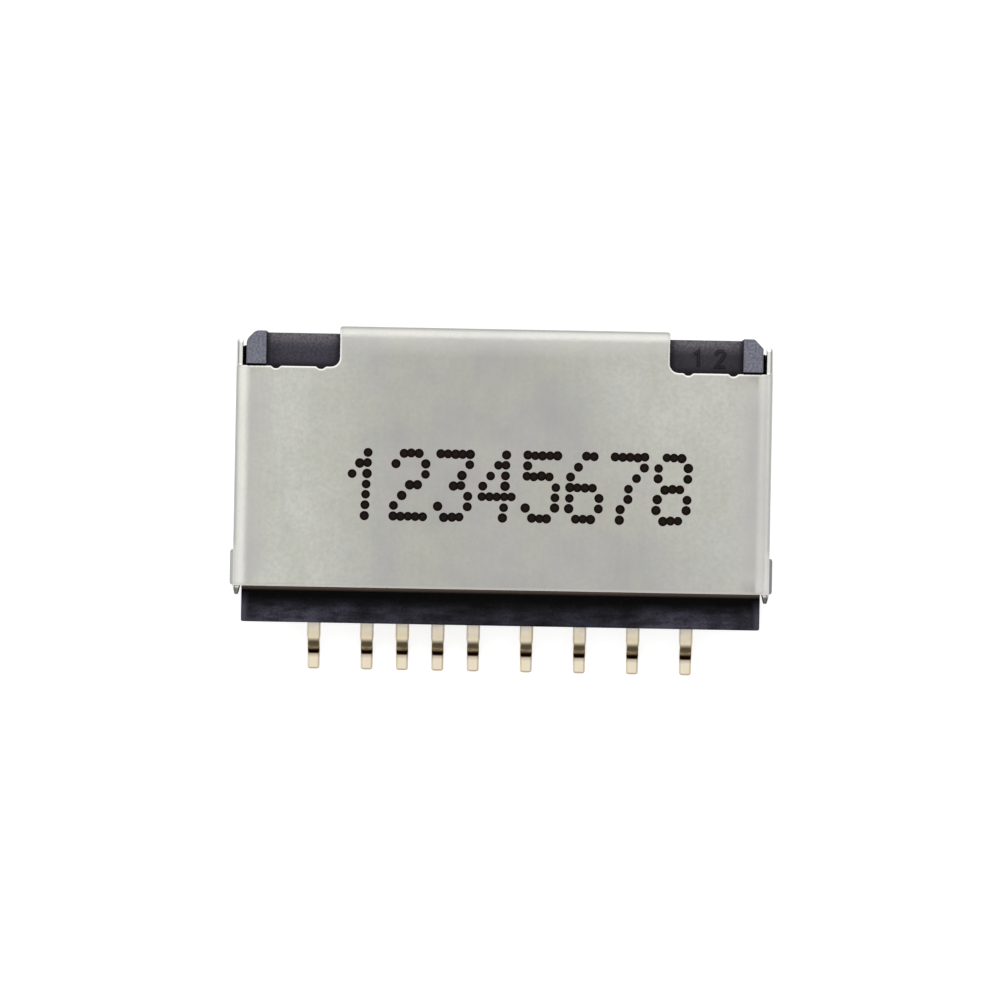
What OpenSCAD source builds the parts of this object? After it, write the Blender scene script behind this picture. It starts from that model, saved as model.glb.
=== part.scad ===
// Right-angle surface-mount card edge connector: a moulded housing, a folded metal shell
// and a row of formed contacts.
// X runs along the row of contacts, Y points out of the card slot and Z is up from the board.
// The origin is the middle of the footprint, on the surface of the board. All sizes are in millimetres.

/* [Shell] */
// Width across the outer faces of the side walls
shell_w = 15.06; // [14.8:0.02:15.4]
// Height of the roof above the board
shell_h = 3.3; // [3.25:0.05:3.6]
// Thickness of the sheet
sheet_t = 0.18; // [0.15:0.01:0.2]
// Outer radius of the long bends between the roof and the side walls
bend_r = 0.42; // [0.3:0.01:0.45]
// Length from the front of the tongue to the rear edge of the roof
roof_l = 7.32; // [7.2:0.01:7.6]
// Width of the tongue in the middle of the front edge
tongue_w = 9.26; // [8.8:0.02:9.6]
// Outer radius of the bend at the front of the tongue
lip_r = 0.35; // [0.25:0.01:0.4]
// Height of the lip that the tongue folds down over the housing
lip_h = 0.75; // [0.5:0.05:0.8]
// Depth of the corner notches beside the tongue
notch_l = 1.14; // [0.95:0.01:1.2]
// Width of each solder tab, along the side wall
tab_w = 1; // [0.8:0.1:1.2]
// Distance that the rear solder tabs are set outwards
tab_set = 0.13; // [0.1:0.01:0.2]

/* [Housing] */
// Length of the low ledge behind the roof
ledge_l = 1.02; // [0.8:0.01:1.2]
// Height of the ledge above the board
ledge_h = 1.75; // [1.6:0.05:1.9]
// Depth of the corner plateaus below the top of the roof
plateau_drop = 0.4; // [0.3:0.05:0.5]
// Width of each guide post at the front corners
post_w = 0.56; // [0.4:0.02:0.6]
// Width of the chamfer on the outer front corner of each guide post
post_chamfer = 0.25; // [0.2:0.01:0.35]
// Width of the card slot
slot_w = 11.9; // [11.7:0.1:12.2]
// Height of the card slot
slot_h = 1.1; // [0.9:0.05:1.15]
// Height of the slot's floor above the board
slot_z = 1.15; // [1.1:0.05:1.2]
// Depth of the card slot from the front face
slot_l = 6.2; // [6:0.1:6.3]

/* [Contacts] */
// Spacing of contacts in the wide groups
wide_pitch = 1.5; // [1.4:0.05:1.55]
// Spacing of contacts in the narrow group
narrow_pitch = 1; // [0.9:0.05:1.1]
// Thickness of the strip that the contacts are formed from
strip_t = 0.2; // [0.15:0.01:0.22]
// Width of the strip where it leaves the housing
strip_w = 0.38; // [0.28:0.01:0.4]
// Width of the solder foot
foot_w = 0.34; // [0.24:0.01:0.36]
// Reach of the solder tails behind the housing
tail_l = 1.32; // [1.2:0.01:1.5]
// Flat length of the tail before it bends down
shoulder_l = 0.38; // [0.2:0.01:0.4]
// Height of the tail's centre line where it leaves the housing
exit_z = 0.8; // [0.75:0.01:0.85]
// Steepness of the tail's drop to the board
leg_angle = 70; // [60:1:80]
// Height of the contact's crest above the slot floor
crest_rise = 0.25; // [0.2:0.01:0.3]
// Slope of the spring beam
beam_angle = 8.3; // [8:0.1:10]
// Slope of the lead-in tip beyond the crest
tip_angle = 38; // [30:1:45]

/* [Hidden] */
$fn = 48;
// Extra length of shapes that cut through others or run into them
extra = 0.5;

// Planes from the front of the tongue back to the ends of the tails
lip_gap = 0.03;
post_reach = 0.05;
chamfer_slope = 1.05;
depth = roof_l + ledge_l + tail_l;
front_y = depth / 2;
body_front = front_y - sheet_t - lip_gap;
post_front = body_front + post_reach;
corner_y = post_front - chamfer_slope * post_chamfer;
wall_front = front_y - 0.4;
shoulder_y = front_y - 0.57;
notch_y = front_y - notch_l;
roof_rear = front_y - roof_l;
wall_rear = roof_rear - 0.26;
taper_start = roof_rear - 0.02;
body_rear = roof_rear - ledge_l;
tail_end = -front_y;

// Shell
inner_w = shell_w - 2 * sheet_t;
wall_top = shell_h - bend_r;
wall_foot = 0.45;
wall_corner_r = 0.12;
wall_overlap = 0.3;
corner_r = 0.25;
dip_r = 0.16;
dip_depth = 0.08;
dip_x = [5.15, 6.42];
front_tab_y = 2.6;
relief_w = 0.12;
joggle_z = 0.8;
joggle_r = 0.15;
joggle_angle = 30;
tip_t = 0.07;

// Latches: windows in the shell's side walls over wedges on the housing
latch_y = [-0.6, 2.1];
latch_l = 1.1;
latch_z = 1.5;
latch_h = 0.7;
latch_out = 0.16;
latch_step = 0.15;
window_gap = 0.05;
window_r = 0.1;

// Housing
base_z = 0.1;
under_roof = shell_h - sheet_t;
plateau_z = shell_h - plateau_drop;
upper_rear = roof_rear + 0.1;
body_w = inner_w - 0.1;
nose_w = inner_w - 0.2;
fit_gap = 0.01;
edge_chamfer = 0.25;
bridge_w = tongue_w - 0.2;
bridge_chamfer = 0.2;
rear_corner_r = 0.06;
post_gap = 0.05;
pad_r = 0.55;
pad_x = 6.4;
pad_y = [-2.7, 3.5];
slot_rear = body_front - slot_l;
mouth_l = 0.4;
mouth_rise = 0.18;
mouth_side = 0.3;

// Contact cavities
cavity_w = 0.46;
cavity_z = 0.45;
cavity_front = 2.95;
window_rear = 0.5;
groove_w = 0.52;
passage_w = 0.4;
passage_top = slot_z + crest_rise + 0.04;

// Contact row: the gaps between neighbours, left to right, and the places that they add up to
gaps = [wide_pitch, narrow_pitch, narrow_pitch, narrow_pitch,
        wide_pitch, wide_pitch, wide_pitch, wide_pitch];
function total(v, n) = n == 0 ? 0 : v[n - 1] + total(v, n - 1);
contact_x = [for (i = [0:len(gaps)]) total(gaps, i) - total(gaps, len(gaps)) / 2];

// Contact form, worked out along its centre line from the foot to the tip
tail_r = 0.2;
root_r = 0.6;
crest_r = 0.35;
root_y = slot_rear + 0.15;
drop = exit_z - strip_t / 2;
leg_l = (drop - 2 * tail_r * (1 - cos(leg_angle))) / sin(leg_angle);
foot_l = tail_l - shoulder_l - 2 * tail_r * sin(leg_angle) - leg_l * cos(leg_angle);
climb = slot_z + crest_rise - strip_t / 2 - exit_z;
beam_l = (climb - (root_r + crest_r) * (1 - cos(beam_angle))) / sin(beam_angle);
tip_l = 0.35;
crest_y = root_y + (root_r + crest_r) * sin(beam_angle) + beam_l * cos(beam_angle);
grip_w = 0.42;
barb_y = [-2.9, -2.25];
barb_l = 0.3;
root_w = 0.38;
crest_w = 0.28;
tip_w = 0.24;
foot_chamfer = 0.025;
neck_l = 0.12;
lead_l = 0.15;
flare_l = 0.1;

// A section in Y and Z drawn out along X
module along_x(x0, x1) {
    translate([x0, 0, 0])
        rotate([90, 0, 90])
            linear_extrude(x1 - x0)
                children();
}

// A section in X and Z drawn out along Y
module along_y(y0, y1) {
    translate([0, y1, 0])
        rotate([90, 0, 0])
            linear_extrude(y1 - y0)
                children();
}

// A plan in X and Y drawn out along Z
module along_z(z0, z1) {
    translate([0, 0, z0])
        linear_extrude(z1 - z0)
            children();
}

module both_sides() {
    children();
    mirror([1, 0, 0])
        children();
}

module rectangle(low, high) {
    translate(low)
        square(high - low);
}

// Heading and left-hand normal of a line that points at angle h
function ahead(h) = [cos(h), sin(h)];
function left(h) = [-sin(h), cos(h)];

// One edge of a bent strip, d to the left of its middle line. Each step is a straight length,
// the bend after it and that bend's radius at the middle of the sheet.
function strip_edge(steps, d, i = 0, p = [0, 0], h = 0) =
    i == len(steps) ? [] :
    let (run = steps[i][0],
         angle = steps[i][1],
         r = steps[i][2],
         side = sign(angle),
         q = p + run * ahead(h),
         centre = q + side * r * left(h),
         n = ceil(abs(angle) / 9))
    concat(i == 0 ? [p + d * left(h)] : [],
           run > 0 ? [q + d * left(h)] : [],
           [for (k = [1:1:n]) centre - (side * r - d) * left(h + angle * k / n)],
           strip_edge(steps, d, i + 1, centre - side * r * left(h + angle), h + angle));

function reversed(v) = [for (i = [len(v) - 1:-1:0]) v[i]];

// The side view of a bent strip of thickness t
module bent_strip(steps, t) {
    polygon(concat(strip_edge(steps, t / 2), reversed(strip_edge(steps, -t / 2))));
}

// An upright section whose two top corners are rounded
module arch(w, foot, top, r) {
    rectangle([-w / 2, foot], [w / 2, top - r]);
    rectangle([-w / 2 + r, foot], [w / 2 - r, top]);
    for (s = [-1, 1])
        translate([s * (w / 2 - r), top - r])
            circle(r);
}

module rounded_rectangle(low, high, r) {
    rectangle(low + [r, 0], high - [r, 0]);
    rectangle(low + [0, r], high - [0, r]);
    for (x = [low[0] + r, high[0] - r])
        for (y = [low[1] + r, high[1] - r])
            translate([x, y])
                circle(r);
}

// Corner notch beside the tongue, with the shallow dips on either side of the trimmed carrier strip
module notch_plan() {
    x0 = tongue_w / 2;
    rectangle([x0 + corner_r, notch_y], [shell_w, front_y + extra]);
    rectangle([x0, notch_y + corner_r], [shell_w, front_y + extra]);
    translate([x0 + corner_r, notch_y + corner_r])
        circle(corner_r);
    for (x = dip_x)
        translate([x, notch_y + dip_r - dip_depth])
            circle(dip_r);
}

// Roof with the long bends down to the side walls
module shell_roof() {
    difference() {
        along_y(roof_rear, front_y - lip_r)
            difference() {
                arch(shell_w, wall_top - wall_overlap, shell_h, bend_r);
                arch(inner_w, wall_top - extra, under_roof, bend_r - sheet_t);
            }
        along_z(wall_top - extra, shell_h + extra)
            both_sides()
                notch_plan();
    }
}

// Lip that folds down over the front face of the housing
module shell_lip() {
    along_x(-tongue_w / 2, tongue_w / 2)
        translate([front_y - lip_r, shell_h - sheet_t / 2])
            bent_strip([[0, -90, lip_r - sheet_t / 2], [lip_h - lip_r, 0, 0]], sheet_t);
}

// Side wall seen from the side: latch windows, a front solder tab and a cut-away for the rear tab
module wall_section() {
    difference() {
        union() {
            rounded_rectangle([wall_rear, wall_foot], [wall_front, wall_top], wall_corner_r);
            rectangle([front_tab_y, 0], [front_tab_y + tab_w, wall_foot + extra]);
        }
        rectangle([wall_rear - extra, wall_foot - extra], [roof_rear + tab_w + relief_w, joggle_z]);
        for (y = latch_y)
            rounded_rectangle([y - window_gap, latch_z - window_gap],
                              [y + latch_l + window_gap, latch_z + latch_h + window_gap], window_r);
    }
}

// Rear solder tab, set outwards by a double bend on its way down to the board
module rear_tab() {
    slant = (tab_set - 2 * joggle_r * (1 - cos(joggle_angle))) / sin(joggle_angle);
    fall = 2 * joggle_r * sin(joggle_angle) + slant * cos(joggle_angle);
    along_y(roof_rear, roof_rear + tab_w)
        translate([(shell_w - sheet_t) / 2, joggle_z])
            rotate(-90)
                bent_strip([[0, joggle_angle, joggle_r],
                            [slant, -joggle_angle, joggle_r],
                            [joggle_z - fall, 0, 0]], sheet_t);
}

module side_wall() {
    difference() {
        along_x(inner_w / 2, shell_w / 2)
            wall_section();
        // Coined taper on both faces of the rear end
        for (face = [-1, 1])
            along_z(0, shell_h)
                translate([(inner_w + sheet_t) / 2, 0])
                    polygon([[face * sheet_t / 2, taper_start],
                             [face * extra, taper_start],
                             [face * extra, wall_rear - extra],
                             [face * tip_t / 2, wall_rear - extra],
                             [face * tip_t / 2, wall_rear]]);
    }
    rear_tab();
}

module shell() {
    color([0.78, 0.77, 0.74]) {
        shell_roof();
        shell_lip();
        both_sides()
            side_wall();
    }
}

// Outline of the housing from above: the rear ledge, a part that just fits between the shell's
// side walls and a narrower nose
module body_plan() {
    rounded_rectangle([-body_w / 2, body_rear], [body_w / 2, body_rear + 1], rear_corner_r);
    rectangle([-body_w / 2, body_rear + 0.5], [body_w / 2, upper_rear + extra]);
    rectangle([-inner_w / 2 + fit_gap, upper_rear], [inner_w / 2 - fit_gap, shoulder_y]);
    rectangle([-nose_w / 2, shoulder_y - extra], [nose_w / 2, body_front]);
}

// Section of the housing under the roof, chamfered to clear the shell's bends
module upper_section() {
    w = body_w / 2;
    polygon([[-w, base_z],
             [w, base_z],
             [w, under_roof - edge_chamfer],
             [w - edge_chamfer, under_roof],
             [-w + edge_chamfer, under_roof],
             [-w, under_roof - edge_chamfer]]);
}

module body_blank() {
    along_z(base_z, ledge_h)
        body_plan();
    along_z(base_z, plateau_z)
        rectangle([-nose_w / 2, upper_rear], [nose_w / 2, body_front]);
    along_y(upper_rear, notch_y - 0.1)
        upper_section();
    // Bridge under the tongue, chamfered to clear the bend of the lip
    along_x(-bridge_w / 2, bridge_w / 2)
        polygon([[0, base_z],
                 [body_front, base_z],
                 [body_front, under_roof - bridge_chamfer],
                 [body_front - bridge_chamfer, under_roof],
                 [0, under_roof]]);
}

// Guide post at the right front corner, level with the roof
module guide_post() {
    along_z(base_z, shell_h)
        rectangle([nose_w / 2 - post_w, notch_y + post_gap], [nose_w / 2, post_front]);
}

// Cut for the chamfer that runs down the post and the nose below it
module front_corner() {
    x = nose_w / 2;
    along_z(0, shell_h + extra)
        polygon([[x, corner_y],
                 [x - post_chamfer, post_front],
                 [x - post_chamfer, post_front + extra],
                 [x + extra, post_front + extra],
                 [x + extra, corner_y]]);
}

// Wedges on the right side that snap into the windows of the shell
module latch_wedges() {
    w = inner_w / 2;
    for (y = latch_y)
        along_y(y, y + latch_l)
            polygon([[w - extra, latch_z],
                     [w + latch_out, latch_z],
                     [w + latch_out, latch_z + latch_step],
                     [w, latch_z + latch_h],
                     [w - extra, latch_z + latch_h]]);
}

// Pads that carry the housing on the board
module standoffs() {
    for (x = [-pad_x, pad_x])
        for (y = pad_y)
            translate([x, y, 0])
                cylinder(h = base_z + 0.1, r = pad_r);
}

// Card slot with a mouth that flares on all four sides
module card_slot() {
    top = slot_z + slot_h;
    flare = body_front - mouth_l;
    out = body_front + mouth_l;
    w = slot_w / 2;
    intersection() {
        along_x(-inner_w, inner_w)
            polygon([[slot_rear, slot_z],
                     [flare, slot_z],
                     [out, slot_z - 2 * mouth_rise],
                     [out, top + 2 * mouth_rise],
                     [flare, top],
                     [slot_rear, top]]);
        along_z(0, shell_h)
            polygon([[-w, slot_rear],
                     [w, slot_rear],
                     [w, body_front - mouth_side],
                     [w + 2 * mouth_side, body_front + mouth_side],
                     [-w - 2 * mouth_side, body_front + mouth_side],
                     [-w, body_front - mouth_side]]);
    }
}

// Space for one contact: a beam cavity open to the slot, a window through the bottom under the crest,
// and a groove for the barbs with the passage above it that the crest is fed through
module contact_cavity() {
    along_x(-cavity_w / 2, cavity_w / 2) {
        rectangle([slot_rear, cavity_z], [cavity_front, slot_z + 0.1]);
        rectangle([window_rear, base_z - extra], [cavity_front, cavity_z + 0.1]);
    }
    along_y(body_rear - extra, slot_rear + 0.05) {
        rectangle([-groove_w / 2, exit_z - strip_t / 2], [groove_w / 2, exit_z + strip_t / 2]);
        rectangle([-passage_w / 2, exit_z], [passage_w / 2, passage_top]);
    }
}

module housing() {
    color([0.16, 0.16, 0.2])
        difference() {
            union() {
                body_blank();
                standoffs();
                both_sides() {
                    guide_post();
                    latch_wedges();
                }
            }
            both_sides()
                front_corner();
            card_slot();
            for (x = contact_x)
                translate([x, 0, 0])
                    contact_cavity();
        }
}

// Half-width of the contact's blank along Y, from the foot to the tip
function barb(y) = [[y, grip_w / 2], [y, groove_w / 2], [y + barb_l, grip_w / 2]];
blank_edge = concat(
    [[tail_end, foot_w / 2 - foot_chamfer],
     [tail_end + foot_chamfer, foot_w / 2],
     [body_rear - shoulder_l - neck_l, foot_w / 2],
     [body_rear - shoulder_l, strip_w / 2],
     [body_rear + lead_l, strip_w / 2],
     [body_rear + lead_l + flare_l, grip_w / 2]],
    barb(barb_y[0]),
    barb(barb_y[1]),
    [[slot_rear - flare_l, grip_w / 2],
     [slot_rear, root_w / 2],
     [crest_y, crest_w / 2],
     [crest_y + crest_r, tip_w / 2],
     [crest_y + 1, tip_w / 2]]);

// One contact: the stamped outline of the strip met with its bent side view
module terminal(x) {
    color([0.85, 0.7, 0.4])
        translate([x, 0, 0])
            intersection() {
                along_x(-groove_w, groove_w)
                    translate([tail_end, strip_t / 2])
                        bent_strip([[foot_l, leg_angle, tail_r],
                                    [leg_l, -leg_angle, tail_r],
                                    [root_y - body_rear + shoulder_l, beam_angle, root_r],
                                    [beam_l, -beam_angle - tip_angle, crest_r],
                                    [tip_l, 0, 0]], strip_t);
                along_z(-extra, shell_h)
                    polygon(concat([for (p = blank_edge) [p[1], p[0]]],
                                   [for (p = reversed(blank_edge)) [-p[1], p[0]]]));
            }
}

housing();
shell();
for (i = [1:len(contact_x)])
    terminal(contact_x[i - 1]);
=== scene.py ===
"""Looks of the card edge connector: its folded shell, formed contacts, moulded housing and print,
their materials, the studio and the camera. Lengths in this file are in millimetres."""

import math
import random

import bmesh
import bpy
import numpy as np
from mathutils import Matrix, Vector
from mathutils.geometry import delaunay_2d_cdt


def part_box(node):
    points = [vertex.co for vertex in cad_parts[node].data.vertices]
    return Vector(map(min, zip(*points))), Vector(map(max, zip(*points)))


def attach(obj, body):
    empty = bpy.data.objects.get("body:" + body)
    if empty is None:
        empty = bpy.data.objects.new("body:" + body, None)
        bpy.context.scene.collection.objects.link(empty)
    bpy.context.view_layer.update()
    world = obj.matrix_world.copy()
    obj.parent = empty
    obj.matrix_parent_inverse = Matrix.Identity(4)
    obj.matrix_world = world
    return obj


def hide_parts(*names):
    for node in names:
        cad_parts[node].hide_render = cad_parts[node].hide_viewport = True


MM = 0.001

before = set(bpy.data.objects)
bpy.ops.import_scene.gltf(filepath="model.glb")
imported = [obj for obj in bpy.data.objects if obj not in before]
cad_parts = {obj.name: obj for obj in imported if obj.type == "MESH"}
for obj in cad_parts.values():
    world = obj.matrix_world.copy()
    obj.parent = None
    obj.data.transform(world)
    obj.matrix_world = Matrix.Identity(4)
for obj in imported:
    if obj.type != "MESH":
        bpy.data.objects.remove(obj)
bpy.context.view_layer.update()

# Driving sizes of the CAD source that the visual pieces share
SHELL_TOP_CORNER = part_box("shell")[1] / MM
FRONT_Y = SHELL_TOP_CORNER.y
SHELL_H = SHELL_TOP_CORNER.z
SHELL_W = 15.06
SHEET_T = 0.18
BEND_R = 0.42
ROOF_REAR = FRONT_Y - 7.32
TONGUE_W = 9.26
LIP_R = 0.35
LIP_H = 0.75
NOTCH_Y = FRONT_Y - 1.14
NOTCH_CORNER = 0.25
DIP_X = (5.15, 6.42)
DIP_DEPTH = 0.07
DIP_HALF = 0.135
DIP_FLAT_HALF = 0.05
DIP_CORNER = 0.08
WALL_FRONT = FRONT_Y - 0.4
WALL_REAR = ROOF_REAR - 0.26
WALL_FOOT = 0.45
WALL_CORNER = 0.12
CORNER = 0.1
BEND_CORNER = 0.05
INNER_CORNER = 0.04
TAB_W = 1.0
TAB_SET = 0.13
FRONT_TAB_Y = 2.6
RELIEF_W = 0.12
JOGGLE_Z = 0.8
JOGGLE_R = 0.15
JOGGLE_ANGLE = math.radians(30)
TIP_T = 0.07
TAPER_START = ROOF_REAR - 0.02
WINDOW_Y = (-0.65, 2.05)
WINDOW_L = 1.2
WINDOW_Z = (1.45, 2.25)
WINDOW_CORNER = 0.1

# The roof lies this much lower than in the CAD model, so that the print stays inside its box
PRINT_ROOM = 0.005

# Lengths below these are taken as none: where places are compared, and where points fall together
NEAR = 0.01
WELD = 1e-5
EXACT = 1e-6


def direction(angle):
    return Vector((math.cos(angle), math.sin(angle)))


def left_of(angle):
    return Vector((-math.sin(angle), math.cos(angle)))


class BentLine:
    """Middle line of a bent strip in two dimensions. Each step is a straight run, the angle of the
    bend after it and that bend's radius."""

    def __init__(self, start, steps):
        self.parts = []
        point = Vector(start)
        heading = 0.0
        length = 0.0
        for run, angle, radius in steps:
            self.parts.append((length, point, heading, 0.0))
            length += run
            point = point + run * direction(heading)
            if angle:
                curvature = math.copysign(1 / radius, angle)
                self.parts.append((length, point, heading, curvature))
                centre = point + left_of(heading) / curvature
                length += abs(angle) * radius
                heading += angle
                point = centre - left_of(heading) / curvature
        self.parts.append((length, point, heading, 0.0))
        self.length = length

    def at(self, s):
        """Point, heading and curvature at length s."""
        start, point, heading, curvature = [p for p in self.parts if p[0] <= s + 1e-9][-1]
        run = s - start
        if not curvature:
            return point + run * direction(heading), heading, 0.0
        turned = heading + run * curvature
        centre = point + left_of(heading) / curvature
        return centre - left_of(turned) / curvature, turned, curvature

    def stations(self, turn=math.radians(8)):
        """Lengths at the ends of all runs, and at even steps round the bends."""
        found = [self.length]
        for part, after in zip(self.parts, self.parts[1:]):
            n = max(1, math.ceil(abs(part[3]) * (after[0] - part[0]) / turn))
            found += [part[0] + (after[0] - part[0]) * k / n for k in range(n)]
        return sorted(set(found))


def rounded_outline(corners, turn=math.radians(15)):
    """Points and outward directions round a closed outline whose corners (x, y, radius) are rounded.
    The material lies on the left of the way round."""
    points, outwards = [], []
    for i, (x, y, radius) in enumerate(corners):
        corner = Vector((x, y))
        came = corner - Vector(corners[i - 1][:2])
        goes = Vector(corners[(i + 1) % len(corners)][:2]) - corner
        bend = math.atan2(came.x * goes.y - came.y * goes.x, came.dot(goes))
        side = math.copysign(1, bend)
        came.normalize()
        heading = math.atan2(came.y, came.x)
        reach = radius * math.tan(abs(bend) / 2)
        centre = corner - came * reach + side * radius * left_of(heading)
        n = max(2, math.ceil(abs(bend) / turn))
        for k in range(n + 1):
            outward = -left_of(heading + bend * k / n)
            points.append(centre + side * radius * outward)
            outwards.append(outward)
    return points, outwards


# A cut this near to an end of a side, as a share of the side, is left out
CUT_SHARE = 1e-3


def split_at_lines(points, outwards, u_lines, v_lines):
    """The outline with a point wherever it crosses a line of the flat pattern's grid."""
    new_points, new_outwards = [], []
    for i, (a, b) in enumerate(zip(points, points[1:] + points[:1])):
        outward_b = outwards[(i + 1) % len(points)]
        cuts = {0.0}
        for axis, lines in ((0, u_lines), (1, v_lines)):
            span = b[axis] - a[axis]
            if abs(span) > EXACT:
                shares = ((line - a[axis]) / span for line in lines)
                cuts.update(share for share in shares if CUT_SHARE < share < 1 - CUT_SHARE)
        for share in sorted(cuts):
            new_points.append(a.lerp(b, share))
            new_outwards.append(outwards[i].lerp(outward_b, share).normalized())
    return new_points, new_outwards


def inside(points, loops):
    """Which points lie inside the outline and outside its holes, by counting crossings."""
    x, y = points[:, :1], points[:, 1:]
    crossings = np.zeros(len(points), int)
    for loop in loops:
        a = np.array(loop)
        b = np.roll(a, -1, axis=0)
        rise = b[:, 1] - a[:, 1]
        rise[rise == 0] = 1e-12
        spans = (a[:, 1] > y) != (b[:, 1] > y)
        crossings += (spans & (x < a[:, 0] + (y - a[:, 1]) * (b[:, 0] - a[:, 0]) / rise)).sum(1)
    return crossings % 2 == 1


def new_piece(name, points, faces, normals=None, values=None):
    """A smooth mesh object from points in millimetres, with its own normals and point attributes."""
    mesh = bpy.data.meshes.new(name)
    mesh.from_pydata([Vector(p) * MM for p in points], [], faces)
    mesh.polygons.foreach_set("use_smooth", [True] * len(mesh.polygons))
    for key, data in (values or {}).items():
        mesh.attributes.new(key, "FLOAT", "POINT").data.foreach_set("value", data)
    if normals is not None:
        mesh.normals_split_custom_set_from_vertices([Vector(n).normalized() for n in normals])
    mesh.validate()
    piece = bpy.data.objects.new(name, mesh)
    bpy.context.scene.collection.objects.link(piece)
    return piece


# Flat pattern of the shell: u runs across the roof and down the side walls, v runs from back to front
ROOF_MIDDLE = SHELL_H - SHEET_T / 2 - PRINT_ROOM
BEND_MIDDLE = BEND_R - SHEET_T / 2
BEND_U = SHELL_W / 2 - BEND_R
WALL_U = BEND_U + BEND_MIDDLE * math.pi / 2
WALL_TOP = SHELL_H - BEND_R - PRINT_ROOM
LIP_V = FRONT_Y - LIP_R
SIDE_LINE = BentLine((0, ROOF_MIDDLE), [(BEND_U, -math.pi / 2, BEND_MIDDLE), (WALL_TOP, 0, 0)])
JOGGLE_SLANT = (TAB_SET - 2 * JOGGLE_R * (1 - math.cos(JOGGLE_ANGLE))) / math.sin(JOGGLE_ANGLE)
JOGGLE_FALL = 2 * JOGGLE_R * math.sin(JOGGLE_ANGLE) + JOGGLE_SLANT * math.cos(JOGGLE_ANGLE)
TAB_LINE = BentLine(
    (0, ROOF_MIDDLE),
    [
        (BEND_U, -math.pi / 2, BEND_MIDDLE),
        (WALL_TOP - JOGGLE_Z, JOGGLE_ANGLE, JOGGLE_R),
        (JOGGLE_SLANT, -JOGGLE_ANGLE, JOGGLE_R),
        (JOGGLE_Z - JOGGLE_FALL, 0, 0),
    ],
)
LIP_LINE = BentLine(
    (0, ROOF_MIDDLE), [(LIP_V, -math.pi / 2, LIP_R - SHEET_T / 2), (LIP_H - LIP_R - PRINT_ROOM, 0, 0)]
)


def wall_u(z):
    """Place in the flat pattern of height z on a side wall."""
    return WALL_U + WALL_TOP - z


def place_on_shell(u, v):
    """Point, directions along u and v, outward normal and bend of the shell at a place of its pattern."""
    side = math.copysign(1, u)
    if v > LIP_V:
        p, heading, bend = LIP_LINE.at(v)
        along = Vector((0, math.cos(heading), math.sin(heading)))
        normal = Vector((0, -math.sin(heading), math.cos(heading)))
        return Vector((u, p.x, p.y)), Vector((1, 0, 0)), along, normal, bend
    on_tab = abs(u) > wall_u(JOGGLE_Z) and v < ROOF_REAR + TAB_W + RELIEF_W / 2
    p, heading, bend = (TAB_LINE if on_tab else SIDE_LINE).at(abs(u))
    across = Vector((math.cos(heading), 0, side * math.sin(heading)))
    normal = Vector((-side * math.sin(heading), 0, math.cos(heading)))
    return Vector((side * p.x, v, p.y)), across, Vector((0, 1, 0)), normal, bend


def half_pattern():
    """Corners of the right half of the shell's outline, from the rear edge round to the front."""
    foot = wall_u(WALL_FOOT)
    joggle = wall_u(JOGGLE_Z)
    tab_end = TAB_LINE.length
    tab_front = ROOF_REAR + TAB_W
    dips = []
    for x in reversed(DIP_X):
        dips += [
            (x + DIP_HALF, NOTCH_Y, CORNER),
            (x + DIP_FLAT_HALF, NOTCH_Y - DIP_DEPTH, DIP_CORNER),
            (x - DIP_FLAT_HALF, NOTCH_Y - DIP_DEPTH, DIP_CORNER),
            (x - DIP_HALF, NOTCH_Y, CORNER),
        ]
    return [
        (WALL_U, ROOF_REAR, BEND_CORNER),
        (WALL_U, WALL_REAR, WALL_CORNER),
        (joggle, WALL_REAR, CORNER),
        (joggle, ROOF_REAR, INNER_CORNER),
        (tab_end, ROOF_REAR, CORNER),
        (tab_end, tab_front, CORNER),
        (joggle, tab_front, INNER_CORNER),
        (joggle, tab_front + RELIEF_W, INNER_CORNER),
        (foot, tab_front + RELIEF_W, CORNER),
        (foot, FRONT_TAB_Y, INNER_CORNER),
        (wall_u(0), FRONT_TAB_Y, CORNER),
        (wall_u(0), FRONT_TAB_Y + TAB_W, CORNER),
        (foot, FRONT_TAB_Y + TAB_W, INNER_CORNER),
        (foot, WALL_FRONT, WALL_CORNER),
        (WALL_U, WALL_FRONT, WALL_CORNER),
        (WALL_U, NOTCH_Y, BEND_CORNER),
        *dips,
        (TONGUE_W / 2, NOTCH_Y, NOTCH_CORNER),
        (TONGUE_W / 2, LIP_LINE.length, CORNER),
    ]


def windows():
    """Corners of the latch windows in both side walls, clockwise, because the material lies outside."""
    found = []
    for side in (-1, 1):
        for v in WINDOW_Y:
            u0, u1 = sorted(side * wall_u(z) for z in WINDOW_Z)
            corners = [(u0, v), (u0, v + WINDOW_L), (u1, v + WINDOW_L), (u1, v)]
            found.append([(*corner, WINDOW_CORNER) for corner in corners])
    return found


def coined(u, v):
    """Share of the sheet's thickness that the coined rear tip of a side wall loses at a place."""
    if abs(u) < WALL_U - NEAR or v > TAPER_START:
        return 0.0
    return (1 - TIP_T / SHEET_T) * (TAPER_START - v) / (TAPER_START - WALL_REAR)


# Grid that the shell's mesh follows on its flat pattern
GRID_STEP = 0.75
GRID_FIRST_U = 0.4
GRID_FIRST_V = -2.0
WALL_ROWS = (2.6, 1.9, 1.2, 0.6)
# The grid's points keep this far from the outline
GRID_CLEAR = 0.02


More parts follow.
